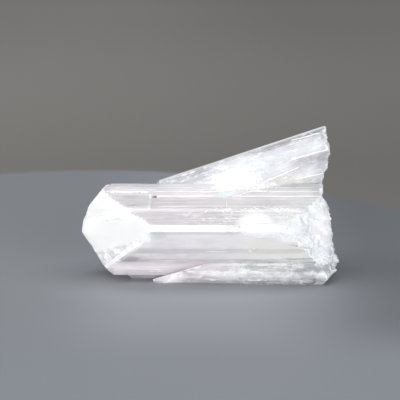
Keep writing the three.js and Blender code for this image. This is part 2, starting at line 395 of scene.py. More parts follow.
def roof(name, crystal, depth, cell, carve, finish):
    """The closed solid under a crystal's tip. At depth t below the ridge its section is a rectangle
    whose sides lie t / slope outside the ridge; carve(a, b) lowers the surface along the length."""
    slope_back = CELL[2] / CELL[0]
    slope_front = crystal.get("steep_front", 1) * slope_back
    (steep_top, top), (steep_bottom, below) = crystal["dome_top"], crystal["dome_bottom"]
    slope_top, slope_bottom = np.array([steep_top, steep_bottom]) * CELL[2] / CELL[1]
    down = np.concatenate([np.arange(0, depth, cell), [depth + 2, ROOF_LENGTH]])
    side = np.linspace(0, 1, max(4, round((top + below + depth) / cell)))[:-1]
    end = np.linspace(0, 1, max(4, round(0.6 * depth / cell)))[:-1]
    # Round the rectangle: across from the back (-1) to the front (1), up from 0 to 1.
    across = np.concatenate([np.ones_like(side), 1 - 2 * end, -np.ones_like(side), 2 * end - 1])
    up = np.concatenate([side, np.ones_like(end), 1 - side, np.zeros_like(end)])
    t = down[:, None]
    a = crystal["ridge_depth"] + across * t / np.where(across > 0, slope_front, slope_back)
    low, high = -below - t / slope_bottom, top + t / slope_top
    b = low + up * (high - low)
    carved = carve(a, b) * (t < depth + 1)
    shape = to_row(placed(crystal, spread(a, b, -t - carved)))
    return new_mesh(name, shape, ring_faces(*a.shape, caps=(False, True)), finish, merge=True)


def smooth_face(a, b):
    """A tip face as it grew: very low, very long terraces."""
    terraces = noise(spread(a / 9, b / 1.1, 0), seed=2)
    return 0.02 * smooth(-0.1, 0.1, terraces) + 0.03 * (1 + noise(spread(a, b, 0), 7, seed=3))


def bell(value, middle, width):
    """A bump of height 1 at the middle, falling to 1/e at its width."""
    return np.exp(-((value - middle) / width) ** 2)


HEIGHTS, DEPTHS = (-18, 32), (-22, 18)  # the ground that small flats and the break cover
FLAT_SIZE, GRAIN_SIZE = 1.6, 0.8


def small_flats(height, depth, size, seed):
    """Every point takes the plane of the nearest of a scatter of seeds: its offset plus its tilt
    times the way from the seed. Ragged steps are left where two planes meet."""
    random = np.random.default_rng(seed)
    count = round(np.ptp(HEIGHTS) * np.ptp(DEPTHS) / size**2)
    seeds = np.stack([random.uniform(*HEIGHTS, count), random.uniform(*DEPTHS, count)], axis=1)
    tilt = random.normal(0, 0.3, seeds.shape)
    offset = random.uniform(0, 0.16 * size, len(seeds))
    lifts = []
    for some in np.array_split(np.stack([height.ravel(), depth.ravel()], axis=1), 64):
        way = some[:, None] - seeds
        nearest = np.argmin(np.sum(way**2, axis=2), axis=1)
        own = way[np.arange(len(nearest)), nearest]
        lifts.append(offset[nearest] + np.sum(own * tilt[nearest], axis=1))
    return np.concatenate(lifts).reshape(height.shape)


def bruised_face(a, b):
    """The main tip: terraces, a rounded ridge, and a lower edge that is chipped back in lumps."""
    strip_top = -6.1 + 0.3 * (a + 0.3)
    into = smooth(0.25, -0.5, b - strip_top + 0.5 * noise(spread(a, b, 0), 2.2, seed=5))
    lumps = (0.6 * np.abs(noise(spread(a, b, 0), 2.4, seed=6))
             + 0.6 * np.clip(small_flats(b, a, 1.7, 78), -0.2, 0.5)
             + 0.4 * np.clip(small_flats(b, a, GRAIN_SIZE, 80), -0.2, 0.3))
    rounding = 0.85 * bell(b, 3.8, 1.25) + 0.2 * bell(b, -4.9, 0.9) - 0.33 * bell(b, -1.2, 2.5)
    corner = 0.13 * np.clip(-8.8 - b, 0, 4) ** 2
    carved = smooth_face(a, b) + into * (0.1 + 0.7 * lumps) + corner
    return carved + rounding * bell(a, MAIN["ridge_depth"], 4.0)


# %% [markdown]
# ## The broken end
#
# The whole group snapped off at one end. Danburite has no good cleavage, so the break is uneven:
# a slanting chip towards the front, and over all of it small flats that meet in ragged steps. It is
# a height field: a broad shape from a few heights, lumps from noise, and the small flats from a
# scatter of points, each owning the ground nearest to it and tilting it its own way.

# %% Broken surface
BREAK_OUTLINE = np.array([  # (height, X)
    (-16, 26.0), (-13.9, 28.7), (-12.7, 30.2), (-11.5, 31.1), (-10.2, 32.5), (-8.4, 32.9),
    (-6.2, 32.4), (-4.6, 31.7), (1.5, 31.0), (5.2, 30.4), (7.9, 28.8), (11.5, 28.7), (15.3, 29.9),
    (16.4, 30.7), (19.8, 31.4), (21.7, 31.2), (22.9, 30.6), (25.7, 29.9), (30, 29.2),
])
BREAK_CELL = 0.33
FAR_END = 60  # past the end of any prism


def break_at(height, depth):
    """How far along X the specimen reaches at each height and depth: the lowest of the outline,
    the front chip and the back chip, less lumps and small flats."""
    outline = np.interp(height, *BREAK_OUTLINE.T)
    front = 29.0 - 0.86 * (depth - 2.2) - 0.1 * height + 3.5 * smooth(-9.0, -12.5, height)
    back = 31.5 + 0.55 * (depth + 9.5)
    shell = 0.35 * np.sin(0.9 * np.hypot(height + 2, depth - 9))
    whole = np.minimum(np.minimum(outline, front + shell), back)
    ground = spread(height, depth, 0)
    lumps = 0.7 * np.abs(noise(ground, 6.5, seed=11)) + 0.4 * np.abs(noise(ground, 2.6, seed=12))
    flats = np.clip(small_flats(height, depth, FLAT_SIZE, 77), -0.25, 0.6)
    grains = np.clip(small_flats(height, depth, GRAIN_SIZE, 79), -0.25, 0.3)
    return whole - lumps - flats - 0.5 * grains


def beyond_break(before=0.0):
    """The block that takes the broken end off. Its near side is the height field, or a distance
    before it."""
    heights, depths = (np.arange(*ends, BREAK_CELL) for ends in (HEIGHTS, DEPTHS))
    grid_h, grid_d = np.meshgrid(heights, depths, indexing="ij")
    near = spread(break_at(grid_h, grid_d) - before, grid_h, grid_d)
    rows, columns = grid_h.shape
    index = np.arange(rows * columns).reshape(rows, columns)
    quads = np.stack([index[:-1, :-1], index[1:, :-1], index[1:, 1:], index[:-1, 1:]], axis=-1)
    rim = np.concatenate([index[0, :-1], index[:-1, -1], index[-1, :0:-1], index[:0:-1, 0]])
    far = near.reshape(-1, 3)[rim]
    far[:, 0] = FAR_END
    behind = rows * columns + np.arange(len(rim))
    walls = np.stack([rim, np.roll(rim, -1), np.roll(behind, -1), behind], axis=-1)
    faces = [*quads.reshape(-1, 4).tolist(), *walls.tolist(), behind.tolist()]
    points = np.concatenate([near.reshape(-1, 3), far])
    return new_mesh("beyond_break", to_row(points), faces, "broken")


# %% [markdown]
# ## Chips
#
# Edges of a brittle crystal lose small shells wherever they are knocked. Each is cut with a lump, a
# squashed sphere with its radius moved by noise. A list says where they sit and how big they are.


# %% Lumps that cut chips
def lump(name, centre, size, seed, finish, rings=14, sides=20):
    """A closed lump: for angles p from pole to pole and q round, the point is
    size * (sin p cos q, sin p sin q, cos p) * (1 + a quarter of noise)."""
    p = np.linspace(0, math.pi, rings)[:, None]
    q = np.arange(sides) * 2 * math.pi / sides
    ball = spread(np.sin(p) * np.cos(q), np.sin(p) * np.sin(q), np.cos(p))
    ball = ball * (1 + 0.25 * noise(ball, 0.8, seed))[..., None]
    shape = to_row(ball * size + centre)
    return new_mesh(name, shape, ring_faces(rings, sides, caps=(False, False)), finish, merge=True)


CHIPS = [  # (X, height, depth) of the middle, (length, height, depth) of the half sizes
    ((-13.9, 7.9, 1.8), (0.65, 0.35, 0.7)),
    ((-14.2, 0.3, 13.9), (0.9, 0.8, 0.7)),
    ((-20.1, 11.5, 1.0), (1.6, 0.5, 0.9)),
    ((-16.4, 11.6, 0.2), (0.7, 0.5, 0.6)),
    ((-25.8, 11.3, -1.2), (0.8, 0.4, 1.6)),
    ((-31.9, -3.6, -5.0), (0.7, 1.0, 0.8)),
    ((-29.0, -6.5, -5.2), (0.8, 0.8, 1.3)),
    ((-27.2, -8.9, -4.0), (0.7, 0.5, 0.9)),
    ((-8.0, 4.6, -11.2), (2.2, 0.6, 0.9)),
    ((14.0, 0.2, -14.2), (1.9, 0.8, 0.9)),
    ((-22.5, -0.4, -14.3), (1.2, 1.0, 1.0)),
    ((5.0, -12.8, 3.4), (1.6, 0.7, 0.8)),
    ((-4.0, -13.4, 3.2), (0.9, 0.6, 0.7)),
    ((18.6, -12.9, 4.2), (1.1, 0.7, 0.8)),
]


def chips_along(start, end, count, seed, scale=1.0):
    """Small chips at even steps from start to end, moved a little, with half sizes that vary."""
    random = np.random.default_rng(seed)
    share = (np.arange(count) + random.uniform(0.1, 0.9, count)) / count
    places = np.array(start) + share[:, None] * (np.array(end) - start) + random.normal(0, 0.16, (count, 3))
    sizes = random.uniform(0.35, 0.9, (count, 1)) * random.uniform(0.6, 1.2, (count, 3))
    return list(zip(places, scale * sizes))


def second_edge(length):
    """The place on the second prism's top edge at a distance from its tip."""
    return placed(SECOND, np.array([*section(SECOND)[len(SECOND["front_up"]) - 1], -length]))


KNOCKED_EDGES = [  # start, end, number of chips, seed, and how large
    ((-14.6, -1.0, 13.4), (-17.4, -3.4, 10.8), 2, 31),
    ((-17.4, -3.4, 10.8), (-21.2, -5.6, 6.9), 2, 32),
    ((-21.2, -5.6, 6.9), (-26.6, -10.2, 1.4), 3, 33),
    ((-26.0, 11.0, 1.2), (-17.0, 11.5, 0.9), 5, 34),
    (second_edge(3.5), second_edge(20.0), 6, 35, 0.55),
    (second_edge(20.0), second_edge(46.0), 3, 36, 0.55),
]
for row in KNOCKED_EDGES:
    CHIPS += chips_along(*row)
CHIPS += [((24.8, -13.2, 5.6), (2.0, 0.9, 0.9)), ((10.9, -4.8, 9.95), (0.4, 0.8, 0.4)),
          ((10.2, -5.6, 9.2), (0.5, 0.4, 0.35))]
EDGE_FLAKE = ((8.3, 0.4, 14.0), (1.8, 1.2, 0.7))  # its scar is as clear as the faces round it
print("chips:", len(CHIPS))

# %% [markdown]
# ## Putting the specimen together
#
# Each prism is trimmed by its roof, the crystals are joined, and then the broken end, the chips
# and everything under the floor are cut away. One closed skin is left. In a clear stone that
# matters: light bends at every surface it meets, so a wall left inside would show.


# %% Grow, join and break
def grown(name, crystal, seed, finish, tip_finish=None, depth=20.0, cell=0.5, carve=smooth_face, **ledges):
    """A prism trimmed by its roof. What its ledges are like is passed on to prism()."""
    tip = roof(name + "_roof", crystal, depth, cell, carve, tip_finish or finish)
    return combine(prism(name, crystal, seed, finish, **ledges), "INTERSECT", tip)


skin = grown("danburite_skin", MAIN, 5, "growth", "tip_face", cell=0.27, carve=bruised_face)
combine(skin, "UNION", grown("second_prism", SECOND, 6, "second_growth", depth=14))
combine(skin, "UNION", grown("plate", PLATE, 7, "etched", width=0.8, step=0.1, row=0.6, rough=0.22, depth=9))
combine(skin, "UNION", grown("under_step", UNDER_STEP, 8, "growth", depth=7))
combine(skin, "UNION", grown("back_step", BACK_STEP, 9, "growth", depth=12))
combine(skin, "DIFFERENCE", beyond_break())
for number, (centre, size) in enumerate(CHIPS):
    combine(skin, "DIFFERENCE", lump("chip", centre, size, number, "broken"))
combine(skin, "DIFFERENCE", lump("flake", *EDGE_FLAKE, 70, "growth"))


# %% Cut it flat underneath
def under_floor():
    """A slab whose top is the floor."""
    corners = spread(*np.meshgrid([-60, 60], [-60, 60], [-40, 0], indexing="ij")).reshape(-1, 3)
    faces = [[0, 1, 3, 2], [4, 6, 7, 5], [0, 4, 5, 1], [2, 3, 7, 6], [0, 2, 6, 4], [1, 5, 7, 3]]
    return new_mesh("under_floor", corners, faces, "etched")


combine(skin, "DIFFERENCE", under_floor())

# %% [markdown]
# ## One skin, and what it remembers
#
# The joined skin is cut into triangles and shaded smooth except across real edges. Two things are
# kept as attributes that the material can read: each face's finish, and how sharply the edges at
# each point stick out, because on a real crystal those edges are bruised white.

# %% Triangles, sharp edges, finishes
SHARP = math.radians(20)


def read(items, name, kind=float, width=3):
    """One property of all of a mesh's points, corners or faces, as rows of an array."""
    values = np.empty(len(items) * width, kind)
    items.foreach_get(name, values)
    return values.reshape(-1, width)


def keep(mesh, name, domain, values):
    """Stores an array of numbers on a mesh, where an Attribute node finds it by its name."""
    layer = mesh.attributes.new(name, "FLOAT", domain)
    layer.data.foreach_set("value", np.asarray(values, np.float32))


def close_up(piece):
    """Triangles, without any two that lie back to back; smooth shading with sharp edges; and a
    printed test that the skin is closed."""
    work = bmesh.new()
    work.from_mesh(piece.data)
    bmesh.ops.triangulate(work, faces=work.faces)
    corners = np.sort([[corner.index for corner in face.verts] for face in work.faces])
    _, which, count = np.unique(corners, axis=0, return_inverse=True, return_counts=True)
    work.faces.ensure_lookup_table()
    twins = [work.faces[index] for index in np.flatnonzero(count[which.ravel()] > 1)]
    bmesh.ops.delete(work, geom=twins, context="FACES")
    open_edges = sum(len(edge.link_faces) != 2 for edge in work.edges)
    print(f"{piece.name}: {len(work.faces)} triangles, {open_edges} open edges, "
          f"{work.calc_volume() / MM**3 / 1000:.2f} cubic centimetres")
    work.to_mesh(piece.data)
    work.free()
    piece.data.polygons.foreach_set("use_smooth", [True] * len(piece.data.polygons))
    piece.data.set_sharp_from_angle(angle=SHARP)


close_up(skin)
keep(skin.data, "finish", "FACE", read(skin.data.polygons, "material_index", int, 1).ravel())


# %% How far each edge sticks out
def sticking_out(mesh):
    """For each point, the largest angle between two faces that meet at a convex edge there, which
    is one where the second face's far corner lies behind the first face."""
    corners = read(mesh.loops, "vertex_index", int, 1).reshape(-1, 3)
    places = read(mesh.vertices, "co")
    normals = read(mesh.polygons, "normal")
    sides = np.concatenate([corners[:, [0, 1]], corners[:, [1, 2]], corners[:, [2, 0]]])
    owner = np.tile(np.arange(len(corners)), 3)
    far = np.concatenate([corners[:, 2], corners[:, 0], corners[:, 1]])
    order = np.lexsort(np.sort(sides, axis=1).T)
    first, second = order[0::2], order[1::2]
    turning = np.sum(normals[owner[first]] * normals[owner[second]], axis=1)
    angle = np.arccos(np.clip(turning, -1, 1))
    beyond = places[far[second]] - places[sides[first, 0]]
    convex = np.sum(beyond * normals[owner[first]], axis=1) < 0
    worst = np.zeros(len(places))
    for end in (0, 1):
        np.maximum.at(worst, sides[first, end], np.where(convex, angle, 0))
    return worst


rubbed = smooth(math.radians(14), math.radians(45), sticking_out(skin.data))
keep(skin.data, "rubbed", "POINT", rubbed)
print(f"points on rubbed edges: {np.mean(rubbed > 0.5):.0%}")

# %% [markdown]
# ## Sealed in the crystal
#
# The white clouds inside danburite are old cracks that healed and trapped films of fluid, so a
# cloud is a curved sheet of tiny flat flakes that all lie nearly the same way. Here a sheet is a
# function of two parameters, flakes are scattered on it more thickly towards its middle, and all
# flakes of one sheet are one mesh. Round them, each prism has a lumpy milky core.

# %% Sheets of flakes
FLAKE_SIDES = 6
FLAKE_DEPTH = 0.7  # flakes that would lie less deep than this are left out


def square_to(normals):
    """Two directions square to each normal and to each other, as arrays."""
    helper = np.where(np.abs(normals[:, :1]) < 0.8, (1.0, 0, 0), (0, 1.0, 0))
    first = np.cross(normals, helper)
    first /= np.linalg.norm(first, axis=1, keepdims=True)
    return first, np.cross(normals, first)


def flakes(name, places, normals, sizes, random):
    """Six-sided plates: corner k is place + size * (cos(60k) * u + sin(60k) * v), plus or minus
    half the thickness along the normal. The thickness is a tenth of the size."""
    u, v = square_to(normals)
    angle = random.uniform(0, math.pi, len(places))[:, None] + np.arange(FLAKE_SIDES) * math.pi / 3
    out = sizes[:, None] * random.uniform(0.7, 1.2, angle.shape)
    flat = (places[:, None] + (out * np.cos(angle))[..., None] * u[:, None]
            + (out * np.sin(angle))[..., None] * v[:, None])
    rise = (0.05 * sizes[:, None] * normals)[:, None]
    corners = np.concatenate([flat - rise, flat + rise], axis=1)
    low, high = np.arange(FLAKE_SIDES), np.arange(FLAKE_SIDES) + FLAKE_SIDES
    walls = np.stack([low, np.roll(low, -1), np.roll(high, -1), high], axis=1)
    starts = np.arange(len(places))[:, None] * 2 * FLAKE_SIDES
    caps = np.concatenate([starts + low[::-1], starts + high]).tolist()
    quads = (starts[:, :, None] + walls).reshape(-1, 4).tolist()
    return plain_mesh(name, to_row(corners), caps + quads)


def reach(crystal, angle):
    """How far the outline of a prism's section lies from its middle, in each direction."""
    outline = section(crystal)
    share = np.linspace(0, 1, 24, endpoint=False)[:, None]
    dense = (outline[:, None] + share * (np.roll(outline, -1, axis=0) - outline)[:, None]).reshape(-1, 2)
    way = dense - outline.mean(axis=0)
    return np.interp(angle, np.arctan2(way[:, 1], way[:, 0]), np.hypot(*way.T), period=2 * math.pi)


def sunk(points, crystal):
    """How deep points lie in a prism: the least of their way to its side, its tip and the break."""
    own = ((points - crystal["centre"]) @ attitude(crystal) - (crystal["tip"], 0, 0)) @ OWN_TO_MAIN
    way = own[:, :2] - section(crystal).mean(axis=0)
    side = reach(crystal, np.arctan2(way[:, 1], way[:, 0])) - np.hypot(*way.T)
    slope = CELL[2] / CELL[0]
    tip = 0.7 * (-own[:, 2] - slope * np.abs(own[:, 0] - crystal["ridge_depth"]))
    return np.minimum(np.minimum(side, tip), break_at(points[:, 1], points[:, 2]) - points[:, 0])


def veil(name, centre, half, degrees, bow, count, size, seed):
    """A bowed sheet of flakes. Point (p, q) of it, each drawn from a bell curve, lies at (half
    length * p, half height * q, bow * (1 - p^2 - q^2) + slow noise), turned and moved to its place."""
    random = np.random.default_rng(seed)
    p, q = np.clip(random.normal(0, 0.42, (2, count)), -1.1, 1.1)
    thick = 0.12 * random.normal(size=count)
    ripple = 0.5 * noise(spread(p * 2, q * 2, seed), 1.0, seed)
    local = spread(half[0] * p, half[1] * q, bow * (1 - p**2 - q**2) + ripple + thick)
    slope = spread(2 * bow * p / half[0], 2 * bow * q / half[1], 1.0)
    normals = slope + 0.35 * random.normal(size=slope.shape)
    normals /= np.linalg.norm(normals, axis=1, keepdims=True)
    turns = np.radians(degrees)
    around = turn(2, turns[2]) @ turn(1, turns[1]) @ turn(0, turns[0])
    sizes = size * random.lognormal(0, 0.45, count)
    places = local @ around.T + centre
    inside = np.maximum(sunk(places, MAIN), sunk(places, SECOND)) > FLAKE_DEPTH
    return flakes(name, places[inside], (normals @ around.T)[inside], sizes[inside], random)


VEILS = [  # name, middle (X, height, depth), half sizes, turns in degrees, bow, flakes, flake size
    ("veil_front", (14.2, 1.4, 4.0), (6.2, 4.2), (-8, 14, 6), 1.6, 3200, 0.15),
    ("veil_middle", (1.5, -1.0, 3.0), (9.0, 5.0), (16, -10, -4), 1.2, 2600, 0.13),
    ("veil_tip", (-22.0, 1.0, -0.5), (6.0, 5.5), (-12, -38, 10), 1.0, 2200, 0.13),
    ("veil_low", (9.0, -8.0, 4.2), (11.0, 2.2), (22, 4, 0), 0.6, 2400, 0.14),
    ("veil_back", (-4.0, 1.0, -7.0), (13.0, 5.5), (10, 6, 3), 1.4, 2600, 0.15),
    ("veil_second", (9.5, 12.6, -5.0), (8.5, 3.6), (-14, 6, 18), 1.0, 3000, 0.14),
    ("veil_second_end", (22.0, 18.5, -6.5), (6.0, 3.0), (18, -12, 20), 0.8, 2000, 0.13),
]
sealed = [veil(*row, seed) for seed, row in enumerate(VEILS, start=100)]
print("polygons of sealed flakes:", sum(len(piece.data.polygons) for piece in sealed))


# %% Milky cores
SIDE_RIM, TIP_RIM, BREAK_RIM = 1.7, 2.6, 2.2  # how far a core stays from sides, tip and break


def core(name, crystal, start, end, seed, rows=80, sides=96):
    """A closed, lumpy body inside a prism. At angle q and share s of the way along, it lies at
    (reach of the section at q - rim + lumps) * (1 - |2s - 1|^12)^0.5 from the section's middle,
    and it is cut short of the tip and of the break."""
    middle = section(crystal).mean(axis=0)
    q = np.arange(sides) * 2 * math.pi / sides
    far = reach(crystal, q)
    s = np.linspace(0, 1, rows)[:, None]
    close = np.clip(1 - np.abs(2 * s - 1) ** 12, 0, None) ** 0.5
    depth, height = np.cos(q), np.sin(q)
    along = -(start + s * (end - start))
    ground = spread(along, far * depth, far * height)
    lumps = 0.55 * noise(ground / (2, 1, 1), 3.4, seed) + 0.25 * noise(ground / (2, 1, 1), 1.2, seed + 1)
    out = (far - SIDE_RIM + lumps) * close
    own = spread(middle[0] + out * depth, middle[1] + out * height, along)
    made = new_mesh(name, to_row(placed(crystal, own)),
                    ring_faces(rows, sides, caps=(False, False)), merge=True)
    behind_tip = dict(crystal, tip=crystal["tip"] + TIP_RIM)
    combine(made, "INTERSECT", roof(name + "_roof", behind_tip, 12, 0.7, smooth_face, "growth"))
    combine(made, "DIFFERENCE", beyond_break(before=BREAK_RIM))
    made.data.materials.clear()
    close_up(made)
    return made


cores = [core("core_main", MAIN, -4.0, 66.0, 41), core("core_second", SECOND, -3.0, 54.0, 42)]

# %% [markdown]
# ## Shader maths as Python
#
# A material's maths is easier to read as a formula than as a picture of nodes. This small class
# wraps the output of a node; adding, multiplying and so on adds the Math nodes behind the scenes.


# %% A wrapped socket
class Wire:
    """The output of a node. Arithmetic on it adds Math nodes; node() adds any other node."""

    def __init__(self, tree, socket):
        self.tree, self.socket = tree, socket

    def node(self, kind, values=(), output=0, **settings):
        """Adds a node of a type, makes its settings, sets or links its sockets, and wraps an
        output of it."""
        made = self.tree.nodes.new("ShaderNode" + kind)
        for key, value in settings.items():
            setattr(made, key, value)
        for key, value in dict(values).items():
            if isinstance(value, Wire):
                self.tree.links.new(value.socket, made.inputs[key])
            else:
                made.inputs[key].default_value = value
        return Wire(self.tree, made.outputs[output]) if made.outputs else None

    def math(self, operation, *others):
        """Adds a Math node whose first value is this one."""
        return self.node("Math", enumerate((self, *others)), operation=operation)

    def vector(self, operation, *others, output=0):
        """The same with vectors."""
        return self.node("VectorMath", enumerate((self, *others)), output, operation=operation)

    def __add__(self, other):
        return self.math("ADD", other)

    def __sub__(self, other):
        return self.math("SUBTRACT", other)

    def __rsub__(self, other):
        return self.node("Math", {0: other, 1: self}, operation="SUBTRACT")

    def __mul__(self, other):
        return self.math("MULTIPLY", other)

    def __abs__(self):
        return self.math("ABSOLUTE")

    __radd__, __rmul__ = __add__, __mul__

    def clip(self):
        """Kept between 0 and 1."""
        return self.node("Clamp", {0: self})

    def step(self, low, high):
        """0 below low, 1 above high, a smooth S between; the other way round if low > high."""
        return self.node("MapRange", {0: self, 1: low, 2: high, 3: 0.0, 4: 1.0},
                         interpolation_type="SMOOTHSTEP")

    def within(self, a, b, c, d):
        """0 below a, 1 from b to c, 0 above d."""
        return self.step(a, b) * self.step(d, c)

    def blend(self, low, high):
        """The colour low where this is 0, high where it is 1."""
        return self.node("Mix", {0: self, 6: low, 7: high}, 2, data_type="RGBA")

    def axes(self):
        """The X, Y and Z of a vector."""
        parts = self.node("SeparateXYZ", {0: self}).socket.node.outputs
        return [Wire(self.tree, part) for part in parts]


def new_material(name):
    """An empty material, and a wire to grow its nodes from: its Object coordinates, in mm."""
    material = bpy.data.materials.new(name)
    material.use_nodes = True
    material.node_tree.nodes.clear()
    own = Wire(material.node_tree, None).node("TexCoord", output="Object")
    return material, own.vector("MULTIPLY", (1 / MM,) * 3)


def most(first, *others, operation="MAXIMUM"):
    """The greatest of several wires, or the least if the operation is MINIMUM."""
    for other in others:
        first = first.math(operation, other)
    return first


def painted(colour, *coats):
    """A colour under coats of others, each given by a wire for where it lies, and the colour."""
    for cover, coat in coats:
        colour = cover.blend(colour, coat)
    return colour


def grain(place, size, stretch=(1, 1, 1), detail=2.0, rough=0.5, seed=0.0):
    """Noise from -1 to 1 about 0, with lumps of a size in millimetres, drawn out by stretch."""
    scaled = place.vector("MULTIPLY", [1 / (size * each) for each in stretch])
    shifted = scaled.vector("ADD", (seed, 1.7 * seed, -seed))
    value = place.node("TexNoise", {"Vector": shifted, "Scale": 1.0, "Detail": detail, "Roughness": rough})
    return (value - 0.5) * 2.6


def away(place, centre, half):
    """How far a place lies from a centre: 1 on the ellipsoid with these half sizes."""
    return place.vector("SUBTRACT", centre).vector("DIVIDE", half).vector("LENGTH", output=1)


# %% [markdown]
# ## The stone
#
# The whole skin is one material, because light that goes in through one finish leaves by another,
# and the faint pink that it gathers on the way must be of one stone. Inside it is clear: full
# transmission, danburite's index of refraction, and a slight absorption. Over that lies frosting, a
# milky skin that light soaks into, and over that chalk, for what is worn or healed quite white and
# for small grey marks, which need crisp edges. A mask says how much of each shows. Growth faces are
# streaked along the crystal, the tip face is nearly all white, and the break is sugary. Some shade is
# painted into the colour: a wedge under the tip's ridge, two small pits, the lowest strip of the
# stone, and a thin line where it meets the floor.

# %% Coordinates along each crystal
stone, in_mm = new_material("danburite")
main_place = in_mm.node("Mapping", {0: in_mm, "Location": (-SHIFT @ STAND).tolist(),
                                    "Rotation": (ROLL - math.pi / 2, 0, 0)})
from_second = main_place.vector("SUBTRACT", SECOND["centre"])
turned_back = Matrix(attitude(SECOND).T.tolist()).to_euler()
second_place = in_mm.node("Mapping", {0: from_second, "Rotation": tuple(turned_back)})
along, height, depth = main_place.axes()
_, second_height, second_depth = second_place.axes()
above_floor = in_mm.axes()[2]

finish, rub = (in_mm.node("Attribute", output="Fac", attribute_name=name) for name in ("finish", "rubbed"))
on_growth, on_second, on_tip, on_broken, on_etched = (
    finish.math("COMPARE", float(number), 0.5) for number in range(len(FINISHES)))

# %% Streaks, blotches and sugar
place = in_mm.node("Mix", {0: on_second, 4: main_place, 5: second_place}, 1, data_type="VECTOR")
fine = grain(place, 0.22, (70, 1, 1))
wide = grain(place, 1.3, (22, 1, 1), seed=3.0)
blotch = grain(place, 5.5, (2.4, 1, 1), detail=3.0, seed=7.0)
sugar = grain(main_place, 0.42, (1.3, 1, 1), detail=3.0, rough=0.65, seed=11.0)
crust = grain(main_place, 1.5, (2.6, 1, 1), detail=4.0, rough=0.6, seed=13.0)
layers = grain(in_mm, 0.4, (9, 9, 1), detail=1.0, seed=17.0)
curl = grain(main_place, 2.4, (1.7, 1, 1), detail=3.0, rough=0.55, seed=23.0)
mottle = grain(second_place, 3.2, (1.9, 1, 1), detail=4.0, rough=0.6, seed=29.0)
nicks = grain(place, 0.42, (7, 1, 1), rough=0.6, seed=31.0).step(0.42, 0.62)
hairlines = grain(main_place, 0.3, (12, 1, 60), detail=1.0, seed=37.0).step(0.3, 0.5)
grit = grain(second_place, 0.9, (3, 1, 1), detail=4.0, rough=0.65, seed=41.0)
wisp = (1 - 10 * abs(curl)).clip()
ragged = 0.3 * blotch + 0.38 * crust + 0.24 * sugar + 0.15 * wide


def patch(centre, half, soft=0.3, ragged=ragged):
    """1 inside an ellipsoid of the main frame and 0 outside, with a soft edge moved by a wire."""
    return (away(main_place, centre, half) + ragged).step(1 + soft, 1 - soft)


def lines(*rows):
    """1 on straight lines seen from the front: each row is X and height, twice, and a width."""
    found = []
    for x1, h1, x2, h2, width in rows:
        slope = (h2 - h1) / (x2 - x1)
        off = height - slope * along - (h1 - slope * x1) - 0.15 * crust
        found.append(abs(off).step(width, 0.4 * width) * along.within(x1, x1 + 0.8, x2 - 0.8, x2))
    return most(*found)


# %% Places on the main prism
in_front = depth.step(0.0, 2.0)
calm = height.within(-8.2, -7.4, -0.6, 0.2) * in_front
lower_faces = height.within(-9.8, -8.8, -5.2, -4.0)
low_down = height.step(-11.0, -13.2)
front_line = height + 0.21 * along - 0.3
above_line = (front_line - 0.25 * crust).step(-0.15, 0.15)
cloud_front = patch((11.2, 1.6, 10.0), (4.6, 2.9, 9)) * above_line
snow = patch((18.2, 1.2, 8.0), (5.2, 4.0, 9), 0.35) * above_line
flurry = snow * sugar.step(-0.1, 0.25)
feathers = wisp * most(patch((-1.0, 2.8, 9.0), (7.5, 1.7, 6)), patch((10.5, 3.0, 9.0), (9.0, 3.6, 7)))
into_window = (most(25.2 - along, height + 7.6, -1 * front_line, operation="MINIMUM")
               + 0.35 * crust + 0.2 * sugar)
window_low = into_window.step(0.0, 0.25) * along.step(5.0, 11.0) * in_front
window_rim = abs(into_window - 0.05).step(0.3, 0.12) * along.step(17.0, 21.0) * height.step(-3.6, -4.4)
window_rim = window_rim * in_front
window_left = patch((-12.4, -1.7, 12.0), (2.1, 1.1, 3), 0.4)
front_edge = along.within(-15.2, -14.7, 3.6, 4.6) * depth.step(12.9, 13.3)
front_edge = front_edge * height.within(-0.9, -0.6, 0.95, 1.15)
off_middle = abs(height - 0.15)
off_edge = off_middle.step(0.75, 0.95) * depth.step(11.8, 12.4)
edge_sides = off_middle.within(0.65, 0.8, 1.4, 1.7) * depth.step(12.3, 12.8) * along.step(9.0, 5.0)
edge_sides = edge_sides * (1 - on_tip)
edge_gap = (along + 0.5 * crust).step(3.3, 4.6) * along.step(10.5, 7.5) * depth.step(12.0, 12.6)
edge_gap = edge_gap * height.within(-1.3, -0.9, 1.3, 1.8)
upper_layer = along.step(-14.8, -14.95) * height.within(4.4, 4.7, 8.2, 8.5)
top_ledges = (0.35 * height.step(8.8, 9.4) + 0.35 * along.step(6.0, 12.0) * height.step(4.4, 5.2)
              + 0.12 * height.step(4.0, 4.6))
striated = patch((-21.7, 7.2, 5.0), (3.6, 1.9, 5), 0.25, 0.6 * ragged)
dark_stripes = lines((-25.3, 8.4, -17.2, 8.1, 0.32), (-24.4, 7.2, -19.0, 7.0, 0.13),
                     (-22.8, 5.4, -17.8, 6.0, 0.28), (-21.5, 6.5, -16.0, 6.4, 0.13))
pale_lines = lines((-25.6, 9.1, -15.2, 9.0, 0.22)) * on_growth * (0.35 + 2.5 * sugar)
streak = 0.7 * patch((1.9, -5.7, 10.0), (3.2, 0.17, 6), 0.3, 0.8 * ragged)
spark = most(patch((4.2, 5.9, 7.0), (0.13, 1.4, 6), 0.5, 0.2 * sugar),
             nicks * patch((10.9, -5.2, 11.0), (0.9, 0.9, 5), 0.4, 0.0))
# Painted shade: dark in two small chipped pits.
pit_shade = most(patch((-13.9, 7.9, 1.6), (0.75, 0.38, 1.2), 0.3, 0.5 * sugar),
           0.6 * sugar.step(-0.05, -0.3) * patch((10.8, -4.9, 10.5), (0.8, 0.9, 4), 0.4, 0.0))

